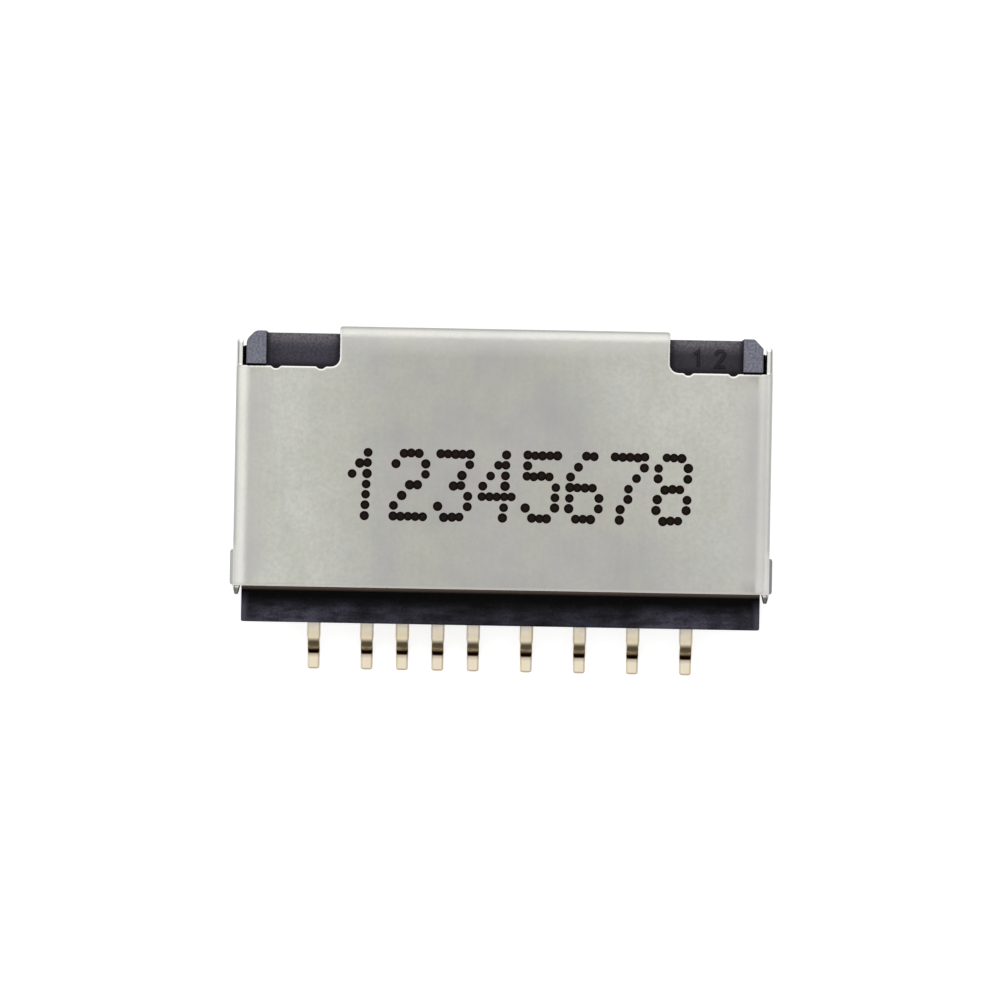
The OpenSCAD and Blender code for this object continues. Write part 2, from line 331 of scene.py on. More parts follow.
def grid_lines():
    """Lines of the shell's flat pattern that its mesh follows: close together round the bends."""
    bends = SIDE_LINE.stations() + TAB_LINE.stations()
    coarse = list(np.arange(GRID_FIRST_U, BEND_U, GRID_STEP)) + [wall_u(z) for z in WALL_ROWS]
    u_lines = {round(side * u, 6) for side in (-1, 1) for u in bends + coarse}
    taper = [TAPER_START, (TAPER_START + WALL_REAR) / 2]
    coarse = list(np.arange(GRID_FIRST_V, LIP_V, GRID_STEP))
    v_lines = {round(v, 6) for v in coarse + LIP_LINE.stations() + taper}
    return sorted(u_lines), sorted(v_lines)


# Cut edges of the sheet: the punch draws the outer face down over ROLL_W by ROLL_DROP
ROLL_W = 0.095
ROLL_DROP = 0.045
BURR_R = 0.02


def edge_profile(drawn_steps=4, burr_steps=2):
    """Rounding of a cut edge as (inset, height, angle of the normal), between the outer and inner face."""
    profile = []
    for k in range(1, drawn_steps + 1):
        a = math.pi / 2 * k / drawn_steps
        angle = math.atan2(ROLL_DROP * math.sin(a), ROLL_W * math.cos(a))
        profile.append((ROLL_W * (1 - math.sin(a)), SHEET_T / 2 - ROLL_DROP * (1 - math.cos(a)), angle))
    for k in range(burr_steps + 1):
        a = math.pi / 2 * k / burr_steps
        height = BURR_R * (1 - math.sin(a)) - SHEET_T / 2
        profile.append((BURR_R * (1 - math.cos(a)), height, math.pi / 2 + a))
    return profile


def fill_pattern(outlines, u_lines, v_lines):
    """Points and triangles of the sheet's flat face, and the points along each of its rims in order."""
    face_loops = [[p - o * ROLL_W for p, o in zip(*outline)] for outline in outlines]
    clear_loops = [[p - o * (ROLL_W + GRID_CLEAR) for p, o in zip(*outline)] for outline in outlines]
    grid = np.array([(u, v) for u in u_lines for v in v_lines])
    flat = [p for loop in face_loops for p in loop]
    edges, firsts = [], [0]
    for loop in face_loops:
        first = firsts[-1]
        edges += [(first + i, first + (i + 1) % len(loop)) for i in range(len(loop))]
        firsts.append(first + len(loop))
    flat += [Vector(p) for p in grid[inside(grid, clear_loops)]]
    points, _, triangles, origins, _, _ = delaunay_2d_cdt(flat, edges, [], 0, EXACT)
    new_index = {old: new for new, olds in enumerate(origins) for old in olds}
    corners = np.array(triangles)
    kept = corners[inside(np.array(points)[corners].mean(1), face_loops)]
    rims = [[new_index[i] for i in range(*ends)] for ends in zip(firsts, firsts[1:])]
    return points, kept, rims


def join_rings(rings):
    """Faces between closed rings of points, one after another, without corners that fall together."""
    faces = []
    for above, below in zip(rings, rings[1:]):
        for i in range(len(above)):
            j = (i + 1) % len(above)
            corners = list(dict.fromkeys([above[i], below[i], below[j], above[j]]))
            if len(corners) > 2:
                faces.append(corners)
    return faces


def make_shell():
    """The shell as one folded sheet with rounded edges."""
    right = half_pattern()
    left = [(-u, v, r) for u, v, r in reversed(right)]
    lines = grid_lines()
    outlines = [rounded_outline(corners) for corners in [right + left] + windows()]
    outlines = [split_at_lines(*outline, *lines) for outline in outlines]
    flat, triangles, rims = fill_pattern(outlines, *lines)
    points, normals, edge, bends, across_sheet = [], [], [], [], []

    def add(u, v, height, outward, angle):
        p, across, along, normal, bend = place_on_shell(u, v)
        thin = coined(u, v)
        points.append(p + height * (1 - thin) * normal)
        if thin:
            lean = (SHEET_T - TIP_T) / 2 / (TAPER_START - WALL_REAR)
            normal = (normal - math.copysign(lean, height) * along).normalized()
        outwards = across * outward[0] + along * outward[1]
        normals.append(normal * math.cos(angle) + outwards * math.sin(angle))
        edge.append(math.sin(angle))
        bends.append(1.0 if bend else 0.0)
        across_sheet.append(2 * height / SHEET_T)
        return len(points) - 1

    outer = [add(u, v, SHEET_T / 2, (0, 0), 0) for u, v in flat]
    inner = [add(u, v, -SHEET_T / 2, (0, 0), math.pi) for u, v in flat]
    faces = [[outer[i] for i in t] for t in triangles] + [[inner[i] for i in reversed(t)] for t in triangles]
    for outline, rim in zip(outlines, rims):
        rings = [[outer[i] for i in rim]]
        for inset, height, angle in edge_profile():
            places = [(p - o * inset, o) for p, o in zip(*outline)]
            rings.append([add(p.x, p.y, height, o, angle) for p, o in places])
        rings.append([inner[i] for i in rim])
        faces += join_rings(rings)
    values = {"edge": edge, "bend": bends, "across": across_sheet}
    return new_piece("folded_shell", points, faces, normals, values)


def rounded_section(half_width, half_height, radius, steps=4):
    """Points and outward directions of an upright rectangle with rounded corners."""
    points, outwards = [], []
    for quarter, (x, y) in enumerate([(1, -1), (1, 1), (-1, 1), (-1, -1)]):
        centre = Vector((x * (half_width - radius), y * (half_height - radius)))
        for k in range(steps + 1):
            outward = direction(math.radians(-90 + 90 * quarter + 90 * k / steps))
            points.append(centre + radius * outward)
            outwards.append(outward)
    return points, outwards


# Rounding of a strip's edges. The section's corners shrink by this share of its inset at the ends
STRIP_EDGE_R = 0.065
CORNER_SHRINK = 0.9
# Tilt of the surface at which the painted line of shade along the edge of a strip is darkest, and how fast
# it comes and goes to both sides of that
SHADE_TILT = 0.385
SHADE_RISE = 2.6
SHADE_FALL = 1.2


def edge_shade(steep):
    """Darkness of the painted line of shade where the surface is this steep."""
    if steep < SHADE_TILT:
        return SHADE_RISE * steep
    return max(0.0, 1 - SHADE_FALL * (steep - SHADE_TILT))


def swept_strip(name, line, x, half_width, thickness, lengths, end_steps=4):
    """A bent strip of varying width with rounded edges and ends. half_width takes the place along Y."""
    lean = [math.pi / 2 * k / end_steps for k in range(end_steps, -1, -1)]
    start = [(lengths[0] + STRIP_EDGE_R * (1 - math.sin(a)), -a) for a in lean]
    end = [(lengths[-1] - STRIP_EDGE_R * (1 - math.sin(a)), a) for a in reversed(lean)]
    body = [(s, 0.0) for s in lengths if start[-1][0] < s < end[0][0]]
    points, normals, edge, faces, rings = [], [], [], [], []
    for s, turn in start + body + end:
        centre, heading, _ = line.at(s)
        along = Vector((0, math.cos(heading), math.sin(heading)))
        up = Vector((0, -math.sin(heading), math.cos(heading)))
        inset = STRIP_EDGE_R * (1 - math.cos(turn))
        radius = STRIP_EDGE_R - CORNER_SHRINK * inset
        section = rounded_section(half_width(centre.x) - inset, thickness / 2 - inset, radius)
        rings.append(range(len(points), len(points) + len(section[0])))
        for p, outward in zip(*section):
            points.append(Vector((x + p.x, centre.x, centre.y)) + up * p.y)
            outwards = Vector((outward.x, 0, 0)) + up * outward.y
            normals.append(outwards * math.cos(turn) + along * math.sin(turn))
            edge.append(edge_shade(max(abs(outward.x), abs(math.sin(turn)))))
    for a, b in zip(rings, rings[1:]):
        n = len(a)
        faces += [[a[i], b[i], b[(i + 1) % n], a[(i + 1) % n]] for i in range(n)]
    faces += [list(rings[0]), list(reversed(rings[-1]))]
    return new_piece(name, points, faces, normals, {"edge": edge})


# Contacts: the bent line from the solder foot to the lead-in tip, and half the width of the strip along it
STRIP_T = 0.2
EXIT_Z = 0.8
LEG_ANGLE = math.radians(70)
TAIL_END = -FRONT_Y
BODY_REAR = ROOF_REAR - 1.02
SLOT_REAR = FRONT_Y - SHEET_T - 0.03 - 6.2
SHOULDER_L = 0.38
SHOULDER_TAPER = 0.12
TAIL_R = 0.2
ROOT_R = 0.6
CREST_R = 0.35
ROOT_Y = SLOT_REAR + 0.15
CREST_TOP = 1.4
BEAM_ANGLE = math.radians(8.3)
TIP_ANGLE = math.radians(38)
TIP_L = 0.35
LEG_L = (EXIT_Z - STRIP_T / 2 - 2 * TAIL_R * (1 - math.cos(LEG_ANGLE))) / math.sin(LEG_ANGLE)
TAIL_L = BODY_REAR - TAIL_END
FOOT_L = TAIL_L - SHOULDER_L - 2 * TAIL_R * math.sin(LEG_ANGLE) - LEG_L * math.cos(LEG_ANGLE)
CLIMB = CREST_TOP - STRIP_T / 2 - EXIT_Z
BEAM_L = (CLIMB - (ROOT_R + CREST_R) * (1 - math.cos(BEAM_ANGLE))) / math.sin(BEAM_ANGLE)
CREST_Y = ROOT_Y + (ROOT_R + CREST_R) * math.sin(BEAM_ANGLE) + BEAM_L * math.cos(BEAM_ANGLE)
FOOT_W = 0.34
STRIP_W = 0.38
GRIP_W = 0.42
GRIP_START = 0.15
GRIP_FULL = 0.25
BARB_W = 0.52
BARB_Y = (-2.9, -2.25)
BARB_L = 0.3
ROOT_W = 0.38
ROOT_TAPER = 0.1
CREST_W = 0.28
TIP_W = 0.24
FOOT_CHAMFER = 0.025
BARB_STEP = 0.01
# Samples of the line that turn places along Y into lengths
LINE_SAMPLES = 600


def contact_widths():
    """Places along Y where the width of the strip changes, each with the half-width there."""
    barbs = [(y + d, w / 2) for y in BARB_Y for d, w in ((0, GRIP_W), (BARB_STEP, BARB_W), (BARB_L, GRIP_W))]
    return [
        (TAIL_END, FOOT_W / 2 - FOOT_CHAMFER),
        (TAIL_END + FOOT_CHAMFER, FOOT_W / 2),
        (BODY_REAR - SHOULDER_L - SHOULDER_TAPER, FOOT_W / 2),
        (BODY_REAR - SHOULDER_L, STRIP_W / 2),
        (BODY_REAR + GRIP_START, STRIP_W / 2),
        (BODY_REAR + GRIP_FULL, GRIP_W / 2),
        *barbs,
        (SLOT_REAR - ROOT_TAPER, GRIP_W / 2),
        (SLOT_REAR, ROOT_W / 2),
        (CREST_Y, CREST_W / 2),
        (CREST_Y + CREST_R, TIP_W / 2),
        (CREST_Y + 1, TIP_W / 2),
    ]


def make_contact(name):
    """One contact in the place of its CAD node."""
    low, high = (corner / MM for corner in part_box(name))
    line = BentLine(
        (TAIL_END, STRIP_T / 2),
        [
            (FOOT_L, LEG_ANGLE, TAIL_R),
            (LEG_L, -LEG_ANGLE, TAIL_R),
            (ROOT_Y - BODY_REAR + SHOULDER_L, BEAM_ANGLE, ROOT_R),
            (BEAM_L, -BEAM_ANGLE - TIP_ANGLE, CREST_R),
            (TIP_L, 0, 0),
        ],
    )
    ys, widths = zip(*contact_widths())
    fine = [line.length * k / LINE_SAMPLES for k in range(LINE_SAMPLES + 1)]
    changes = np.interp(ys, [line.at(s)[0].x for s in fine], fine).tolist()
    lengths = line.stations() + [s for s in changes if 0 < s < line.length]
    lengths = sorted({round(s, 4) for s in lengths})
    middle = (low.x + high.x) / 2
    return swept_strip("formed_" + name, line, middle, lambda y: np.interp(y, ys, widths), STRIP_T, lengths)


# Housing: each post begins at POST_INNER. What lies beyond POST_SIDE is on its outer side, and what lies
# in front of POST_BACK is on its front or its chamfer
POST_INNER = 6.69
POST_MARGIN = 0.06
POST_SIDE = 7.1
POST_BACK = 4.3
# Least height of an edge that runs down a post
POST_EDGE_H = 1.0
EDGE_ROUNDING = 0.02
POST_ROUNDING = 0.03
POST_CORNER = 0.09
# Edges shorter than this are left over from the rounding and go
SLIVER = 2e-4
HOUSING_W = 14.6
UNDER_ROOF = SHELL_H - SHEET_T
EDGE_CHAMFER = 0.25
# The chamfer under the roof's bends is this much smaller on the visual housing, because its edge
# would meet the plateau's corner once both are rounded
CHAMFER_CUT = 0.08


def on_post_outside(edge):
    """Whether an edge of a post's top lies on its front, its chamfer or its outer side."""
    a, b = (v.co for v in edge.verts)
    on_side = min(abs(a.x), abs(b.x)) > POST_SIDE
    in_front = min(a.y, b.y) > POST_BACK
    return on_side or in_front and max(abs(a.x), abs(b.x)) > POST_INNER + POST_MARGIN


def on_left_corner(edge):
    """Whether an edge runs down the chamfer of the left post, whose corner is well rounded."""
    a, b = (v.co for v in edge.verts)
    on_left = max(a.x, b.x) < -POST_INNER - POST_MARGIN
    return on_left and min(a.y, b.y) > POST_BACK and abs(a.z - b.z) > POST_EDGE_H


def trim_chamfer(bm):
    """Make the chamfer under the roof's bends smaller, by moving its two edges towards the corner."""

    def at(place, inset, height):
        across = abs(place.x) - HOUSING_W / 2 + inset
        return max(abs(across), abs(place.z - height)) < NEAR / 10

    for v in bm.verts:
        if at(v.co, 0, UNDER_ROOF - EDGE_CHAMFER):
            v.co.z += CHAMFER_CUT
        elif at(v.co, EDGE_CHAMFER, UNDER_ROOF):
            v.co.x += math.copysign(CHAMFER_CUT, v.co.x)


def round_edges(bm, edges, size, segments=2):
    """Bevel edges by a size in millimetres, and give the new faces."""
    settings = {"offset_type": "OFFSET", "profile": 0.5, "affect": "EDGES"}
    return bmesh.ops.bevel(bm, geom=edges, offset=size, segments=segments, **settings)["faces"]


# Least cosine between the normals of two faces that are shaded as one
SAME_SIDE = 0.4


def corner_normal(loop, mark):
    """Normal at one corner of a face: flat faces have their own, and the rounded faces have their flat
    neighbours' where they meet them."""
    face = loop.face
    near = [face]
    if face[mark]:
        sides = (loop.edge, loop.link_loop_prev.edge)
        flat = [f for e in sides for f in e.link_faces if not f[mark]]
        near = [f for f in flat or loop.vert.link_faces if f.normal.dot(face.normal) > SAME_SIDE]
    return sum((f.normal * f.calc_area() for f in near or [face]), Vector()).normalized()


def faces_in_order(bm):
    """The corners of each face, in the same order in every run, which the bevels don't give."""
    bm.verts.index_update()
    faces = []
    for face in sorted(bm.faces, key=lambda f: sorted(v.index for v in f.verts)):
        corners = list(face.loops)
        first = corners.index(min(corners, key=lambda loop: loop.vert.index))
        faces.append(corners[first:] + corners[:first])
    return faces


def make_housing(sharp=math.radians(30)):
    """The housing's CAD mesh with its outer edges rounded, and its rounded faces marked as edge. It is
    worked on in millimetres, because the mesh tools lose exactness on such small lengths in metres."""
    bm = bmesh.new()
    bm.from_mesh(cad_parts["housing"].data)
    bm.transform(Matrix.Scale(1 / MM, 4))
    bmesh.ops.remove_doubles(bm, verts=bm.verts, dist=WELD)
    bmesh.ops.dissolve_limit(bm, angle_limit=math.radians(0.5), verts=bm.verts, edges=bm.edges)
    trim_chamfer(bm)
    round_edges(bm, [e for e in bm.edges if on_left_corner(e)], POST_CORNER, segments=4)
    mark = bm.faces.layers.float.new("edge")
    tops = [e for e in bm.edges if min(v.co.z for v in e.verts) > SHELL_H - NEAR]
    wide = [e for e in tops if on_post_outside(e)]
    for chosen, size in ((wide, POST_ROUNDING), (None, EDGE_ROUNDING)):
        edges = chosen or [e for e in bm.edges if e.is_convex and e.calc_face_angle() > sharp]
        for face in round_edges(bm, [e for e in edges if e.calc_length() > NEAR], size):
            face[mark] = 1.0
    bmesh.ops.dissolve_degenerate(bm, dist=SLIVER, edges=bm.edges)
    bmesh.ops.triangulate(bm, faces=[f for f in bm.faces if len(f.verts) > 4], ngon_method="BEAUTY")
    bm.normal_update()
    faces = faces_in_order(bm)
    mesh = bpy.data.meshes.new("moulded_housing")
    corners = [[corner.vert.index for corner in f] for f in faces]
    mesh.from_pydata([v.co * MM for v in bm.verts], [], corners)
    mesh.polygons.foreach_set("use_smooth", [True] * len(faces))
    marks = mesh.attributes.new("edge", "FLOAT", "FACE")
    marks.data.foreach_set("value", [f[0].face[mark] for f in faces])
    mesh.normals_split_custom_set([corner_normal(corner, mark) for f in faces for corner in f])
    bm.free()
    piece = bpy.data.objects.new("moulded_housing", mesh)
    bpy.context.scene.collection.objects.link(piece)
    return piece


# Print: a row of generic digits made of dots, in place of the marking in the photograph
DIGITS = {
    "1": ("..#..", ".##..", "#.#..", "..#..", "..#..", "..#..", "..#.."),
    "2": (".###.", "#...#", "....#", "..##.", ".#...", "#....", "#####"),
    "3": ("#####", "....#", "...#.", "..##.", "....#", "#...#", ".###."),
    "4": ("...#.", "..##.", ".#.#.", "#..#.", "#####", "...#.", "...#."),
    "5": ("#####", "#....", "####.", "....#", "....#", "#...#", ".###."),
    "6": ("..##.", ".#...", "#....", "####.", "#...#", "#...#", ".###."),
    "7": ("#####", "....#", "...#.", "..#..", "..#..", ".#...", ".#..."),
    "8": (".###.", "#...#", "#...#", ".###.", "#...#", "#...#", ".###."),
}
PRINT_TEXT = "12345678"
PRINT_X = -4.28
PRINT_Y = FRONT_Y - 5.3
CHARACTER_PITCH = 1.227
DOT_COLUMN = 0.2075
DOT_ROW = 0.295
DOT_R = 0.132
DOT_RISE = 0.004
DOT_SIDES = 20
# Rings of a dot as shares of its radius and of its rise, and how steep it is shaded at its rim
DOT_RINGS = ((1.0, -0.5), (1.0, 0.35), (0.86, 0.72), (0.6, 0.93), (0.25, 1.0))
DOT_SLOPE = 0.25
DOT_SPREAD = (0.94, 1.05)
PRINT_SHAKE = 0.006
PRINT_SEED = 7
PRINT_SLANT = math.tan(math.radians(2.4))


def dot_places():
    """Middle and radius of each dot, with the small errors of a real printer."""
    random.seed(PRINT_SEED)
    for i, digit in enumerate(PRINT_TEXT):
        for row, cells in enumerate(reversed(DIGITS[digit])):
            for column in (c for c, cell in enumerate(cells) if cell == "#"):
                y = PRINT_Y + row * DOT_ROW + random.gauss(0, PRINT_SHAKE)
                x = PRINT_X + i * CHARACTER_PITCH + column * DOT_COLUMN
                x += row * DOT_ROW * PRINT_SLANT + random.gauss(0, PRINT_SHAKE)
                yield x, y, DOT_R * random.uniform(*DOT_SPREAD)


def make_print():
    """Low domes of ink on the roof, one for each dot."""
    points, normals, faces, rim = [], [], [], []
    roof = SHELL_H - PRINT_ROOM
    round_dot = range(DOT_SIDES)
    for x, y, radius in dot_places():
        first = len(points)
        for share, level in DOT_RINGS:
            for k in round_dot:
                spoke = direction(2 * math.pi * k / DOT_SIDES) * share * radius
                points.append((x + spoke.x, y + spoke.y, roof + level * DOT_RISE))
                slope = DOT_SLOPE * share
                normals.append(Vector((spoke.x / radius * slope, spoke.y / radius * slope, 1)))
                rim.append(share)
        for ring in range(len(DOT_RINGS) - 1):
            a = first + ring * DOT_SIDES
            b = a + DOT_SIDES
            ends = [(k, (k + 1) % DOT_SIDES) for k in round_dot]
            faces += [[a + k, a + after, b + after, b + k] for k, after in ends]
        top = first + (len(DOT_RINGS) - 1) * DOT_SIDES
        faces.append([first + k for k in reversed(round_dot)])
        faces.append([top + k for k in round_dot])
    return new_piece("printed_digits", points, faces, normals, {"rim": rim})


# Mould number: two generic digits raised on the right front corner of the housing
MARK_STROKES = (
    ((0.0, 0.34), (0.11, 0.44), (0.11, 0.0)),
    ((0.6, 0.33), (0.62, 0.39), (0.68, 0.44), (0.77, 0.44), (0.83, 0.39), (0.83, 0.32), (0.79, 0.24)),
)
MARK_FOOT = ((0.79, 0.24), (0.6, 0.0), (0.86, 0.0))
MARK_PLACE = (5.32, FRONT_Y - 0.95)
MARK_WIDTH = 0.1
MARK_RISE = 0.035
# Section of a stroke: places across it as shares of its width, with their heights
MARK_SECTION = ((-0.5, -0.01), (-0.32, MARK_RISE), (0.32, MARK_RISE), (0.5, -0.01))
MITRE_LEAST = 0.5
PLATEAU_Z = SHELL_H - 0.4


def make_mark():
    """The mould number as trapezoid ridges with mitred corners."""
    points, faces = [], []
    n = len(MARK_SECTION)
    for stroke in (MARK_STROKES[0], MARK_STROKES[1] + MARK_FOOT[1:]):
        path = [Vector(p) + Vector(MARK_PLACE) for p in stroke]
        rings = []
        for i, p in enumerate(path):
            came = (p - path[i - 1]).normalized() if i else (path[1] - p).normalized()
            goes = (path[i + 1] - p).normalized() if i + 1 < len(path) else came
            mitre = Vector((-came.y - goes.y, came.x + goes.x)).normalized()
            reach = 1 / max(MITRE_LEAST, mitre.dot(Vector((-came.y, came.x))))
            rings.append(range(len(points), len(points) + n))
            for half, z in MARK_SECTION:
                side = p + mitre * half * MARK_WIDTH * reach
                points.append((side.x, side.y, PLATEAU_Z + z))
        for a, b in zip(rings, rings[1:]):
            faces += [[a[(k + 1) % n], a[k], b[k], b[(k + 1) % n]] for k in range(n)]
        faces += [list(rings[0]), list(reversed(rings[-1]))]
    mark = new_piece("mould_number", points, faces, values={"mark": [1.0] * len(points)})
    mark.data.set_sharp_from_angle(angle=math.radians(30))
    return mark


class Tree:
    """Short calls for building the nodes of a material or of the world."""

    def __init__(self, owner):
        owner.use_nodes = True
        self.owner = owner
        self.tree = owner.node_tree
        self.tree.nodes.clear()

    def node(self, kind, sockets=None, **settings):
        """A new node: sockets by name or number take a value or another node's output."""
        made = self.tree.nodes.new("ShaderNode" + kind)
        for key, value in settings.items():
            setattr(made, key, value)
        for key, value in (sockets or {}).items():
            if isinstance(value, bpy.types.NodeSocket):
                self.tree.links.new(value, made.inputs[key])
            else:
                made.inputs[key].default_value = value
        return made

    def place(self, scale=(1, 1, 1)):
        """Object coordinates in millimetres, times a scale for each axis."""
        coordinates = self.node("TexCoord").outputs["Object"]
        scale = tuple(s / MM for s in scale)
        return self.node("Mapping", {"Vector": coordinates, "Scale": scale}).outputs[0]

    def axes(self):
        """X, Y and Z of the place, in millimetres."""
        split = self.node("SeparateXYZ", {0: self.place()})
        return tuple(split.outputs[axis] for axis in "XYZ")

    def facing(self, axis):
        """How far the surface faces along an axis."""
        normal = self.node("NewGeometry").outputs["Normal"]
        return self.node("SeparateXYZ", {0: normal}).outputs[axis]

    def noise(self, scale, detail=3.0, finer=(1, 1, 1)):
        """Noise with this many waves in a millimetre, made finer by a factor along each axis."""
        sockets = {"Vector": self.place(finer), "Scale": scale, "Detail": detail}
        return self.node("TexNoise", sockets).outputs["Fac"]

    def attribute(self, name):
        return self.node("Attribute", attribute_name=name).outputs["Fac"]

    def math(self, operation, a, b=0.0, c=0.0):
        return self.node("Math", {0: a, 1: b, 2: c}, operation=operation).outputs[0]

    def times(self, product, *factors):
        """The product of values and outputs."""
        for factor in factors:
            product = self.math("MULTIPLY", product, factor)
        return product

    def rest(self, share):
        """What a share leaves of one."""
        return self.math("SUBTRACT", 1.0, share)

    def most(self, largest, *others):
        """The largest of some outputs."""
        for other in others:
            largest = self.math("MAXIMUM", largest, other)
        return largest

    def ramp(self, value, low, high, out_low=0.0, out_high=1.0, smooth=False):
        """A value carried from the range low, high to the range out_low, out_high, and held beyond."""
        sockets = {"Value": value, "From Min": low, "From Max": high, "To Min": out_low, "To Max": out_high}
        kind = "SMOOTHSTEP" if smooth else "LINEAR"
        return self.node("MapRange", sockets, interpolation_type=kind, clamp=True).outputs[0]

    def sided(self, x, left, right):
        """One value on the left half of the part and another on the right half."""
        return self.ramp(x, -1.0, 1.0, left, right)

    def mix(self, factor, a, b):
        """Colour a, or colour b where the factor is 1."""
        made = self.node("Mix", data_type="RGBA", blend_type="MIX")
        for socket, value in ((made.inputs["Factor"], factor), (made.inputs[6], a), (made.inputs[7], b)):
            if isinstance(value, bpy.types.NodeSocket):
                self.tree.links.new(value, socket)
            else:
                socket.default_value = (*value, 1) if isinstance(value, tuple) else value
        return made.outputs[2]

    def bump(self, height, distance, strength, normal=None):
        """Fine relief of a distance in millimetres, on top of another normal."""
        sockets = {"Height": height, "Distance": distance * MM, "Strength": strength}
        if normal:
            sockets["Normal"] = normal
        return self.node("Bump", sockets).outputs[0]

    def finish(self, sockets):
        """The material, with these sockets of its surface."""
        shader = self.node("BsdfPrincipled", sockets)
        self.node("OutputMaterial", {"Surface": shader.outputs[0]})
        return self.owner


# Colours of the tin plating, and of the painted sheen and painted shade on it
TIN = (0.474, 0.464, 0.442)
TIN_CLOUD = (0.433, 0.428, 0.416)
TIN_SIDE_SHEEN = (0.625, 0.63, 0.574)
TIN_YELLOW = (0.52, 0.525, 0.43)
TIN_SPECK = (0.40, 0.40, 0.38)
TIN_BEND_SHADE = (0.37, 0.35, 0.34)
TIN_ROLL_SHADE = (0.32, 0.31, 0.27)
TIN_EDGE_SHEEN = (0.88, 0.87, 0.83)
TIN_FRONT_SHEEN = (1.0, 0.99, 0.95)
TIN_UPRIGHT_SHADE = (0.25, 0.25, 0.245)
TIN_LOW_SHADE = (0.10, 0.10, 0.10)
TIN_CUT = (0.27, 0.27, 0.26)
TIN_TIP_LEFT = (0.10, 0.10, 0.08)
TIN_TIP_RIGHT = (0.045, 0.032, 0.026)


def tin_clouds(t, x, y, bend):
    """Colour of the plating: cloudy and specked, with a painted sheen that makes the roof paler towards both
    sides.
    """
    patches = t.ramp(t.noise(0.45, 4), 0.38, 0.62)
    tint = t.ramp(t.noise(0.8, 3, (1, 0.7, 1)), 0.42, 0.66)
    specks = t.ramp(t.noise(9, 2), 0.3, 0.7, 0.0, 0.35)
    # Painted sheen: the roof is painted paler towards its left and right sides, and on the right it reaches
    # further in towards the front
    on_left = t.ramp(x, -2.6, -5.9, 0.0, 0.95, smooth=True)
    inset = t.math("SUBTRACT", x, t.ramp(y, -2.0, 3.0, 3.2, 0.8))
    on_right = t.times(t.ramp(inset, 0.0, 3.6, smooth=True), t.ramp(y, -2.0, 3.0, 0.5, 0.85))
    side_sheen = t.times(t.math("ADD", on_left, on_right), t.rest(bend))
    colour = t.mix(patches, TIN, TIN_CLOUD)
    colour = t.mix(side_sheen, colour, TIN_SIDE_SHEEN)
    colour = t.mix(t.times(tint, 0.5), colour, TIN_YELLOW)
    return t.mix(specks, colour, TIN_SPECK)


def tin_edges(t, colour, x, y, edge, sheen_and_burnish):
    """Painted shade in a grey band beside the bends, stronger on the right, and in a line where cut edges
    start to roll; and a painted highlight on the bends and edges, brightest towards the front.
    """
    away = t.math("ABSOLUTE", x)
    # Painted shade: a grey band on the roof just before each side bend, stronger on the right
    bend_shade = t.times(t.ramp(away, BEND_U - 0.4, BEND_U), t.ramp(away, BEND_U + 0.05, BEND_U - 0.02))
    colour = t.mix(t.times(bend_shade, t.sided(x, 0.25, 0.6)), colour, TIN_BEND_SHADE)
    # Painted shade: a darker line where a cut edge starts to roll over
    beside = t.times(t.ramp(edge, 0.0, 0.15), t.ramp(edge, 0.45, 0.2))
    colour = t.mix(t.times(beside, 0.45), colour, TIN_ROLL_SHADE)
    # Painted highlight on the bends and cut edges, whiter towards the front
    bright = t.mix(t.ramp(y, 2.5, 3.2), TIN_EDGE_SHEEN, TIN_FRONT_SHEEN)
    return t.mix(t.times(sheen_and_burnish, 0.85), colour, bright)


def tin_shades(t, colour, x, y, z, edge, across):
    """Painted shade on upright outer faces and on the joggles of the tabs, stronger on the right, and darker
    cut edges. The coined rear tips are darkened as bare metal and as painted shade, the right one most. The
    bends above the rear tabs are spared the painted shade of upright faces."""
    up = t.facing("Z")
    outer = t.ramp(across, -0.3, 0.0)
    by_tab = t.ramp(y, ROOF_REAR + TAB_W + 0.35, ROOF_REAR + TAB_W - 0.05, 0.0, 0.55, smooth=True)
    lighter = t.times(by_tab, t.ramp(z, WALL_TOP, WALL_TOP + 0.12))
    # Painted shade on the upright outer faces
    upright = t.ramp(t.math("ABSOLUTE", up), 0.72, 0.42)
    upright = t.times(upright, t.rest(lighter), outer)
    # Painted shade on the joggles of the rear tabs, low down, much stronger on the right
    low = t.times(t.ramp(z, 1.0, 0.5), outer, t.sided(x, 0.12, 1.0), t.ramp(up, 0.03, 0.3, 0.15, 1.0))
    cut = t.times(t.ramp(t.times(edge, up), 0.55, 0.8), t.ramp(across, 0.0, 0.4))
    # The coined rear tips are darkened as bare cut metal and as painted shade, the right one most
    tip = t.times(t.ramp(y, ROOF_REAR - 0.03, ROOF_REAR - 0.1), t.ramp(z, 2.2, 2.7, 0.2, 1.0))
    colour = t.mix(t.times(upright, 0.8), colour, TIN_UPRIGHT_SHADE)
    colour = t.mix(low, colour, TIN_LOW_SHADE)
    colour = t.mix(cut, colour, TIN_CUT)
    return t.mix(t.times(tip, 0.85), colour, t.mix(t.sided(x, 0.0, 1.0), TIN_TIP_LEFT, TIN_TIP_RIGHT))


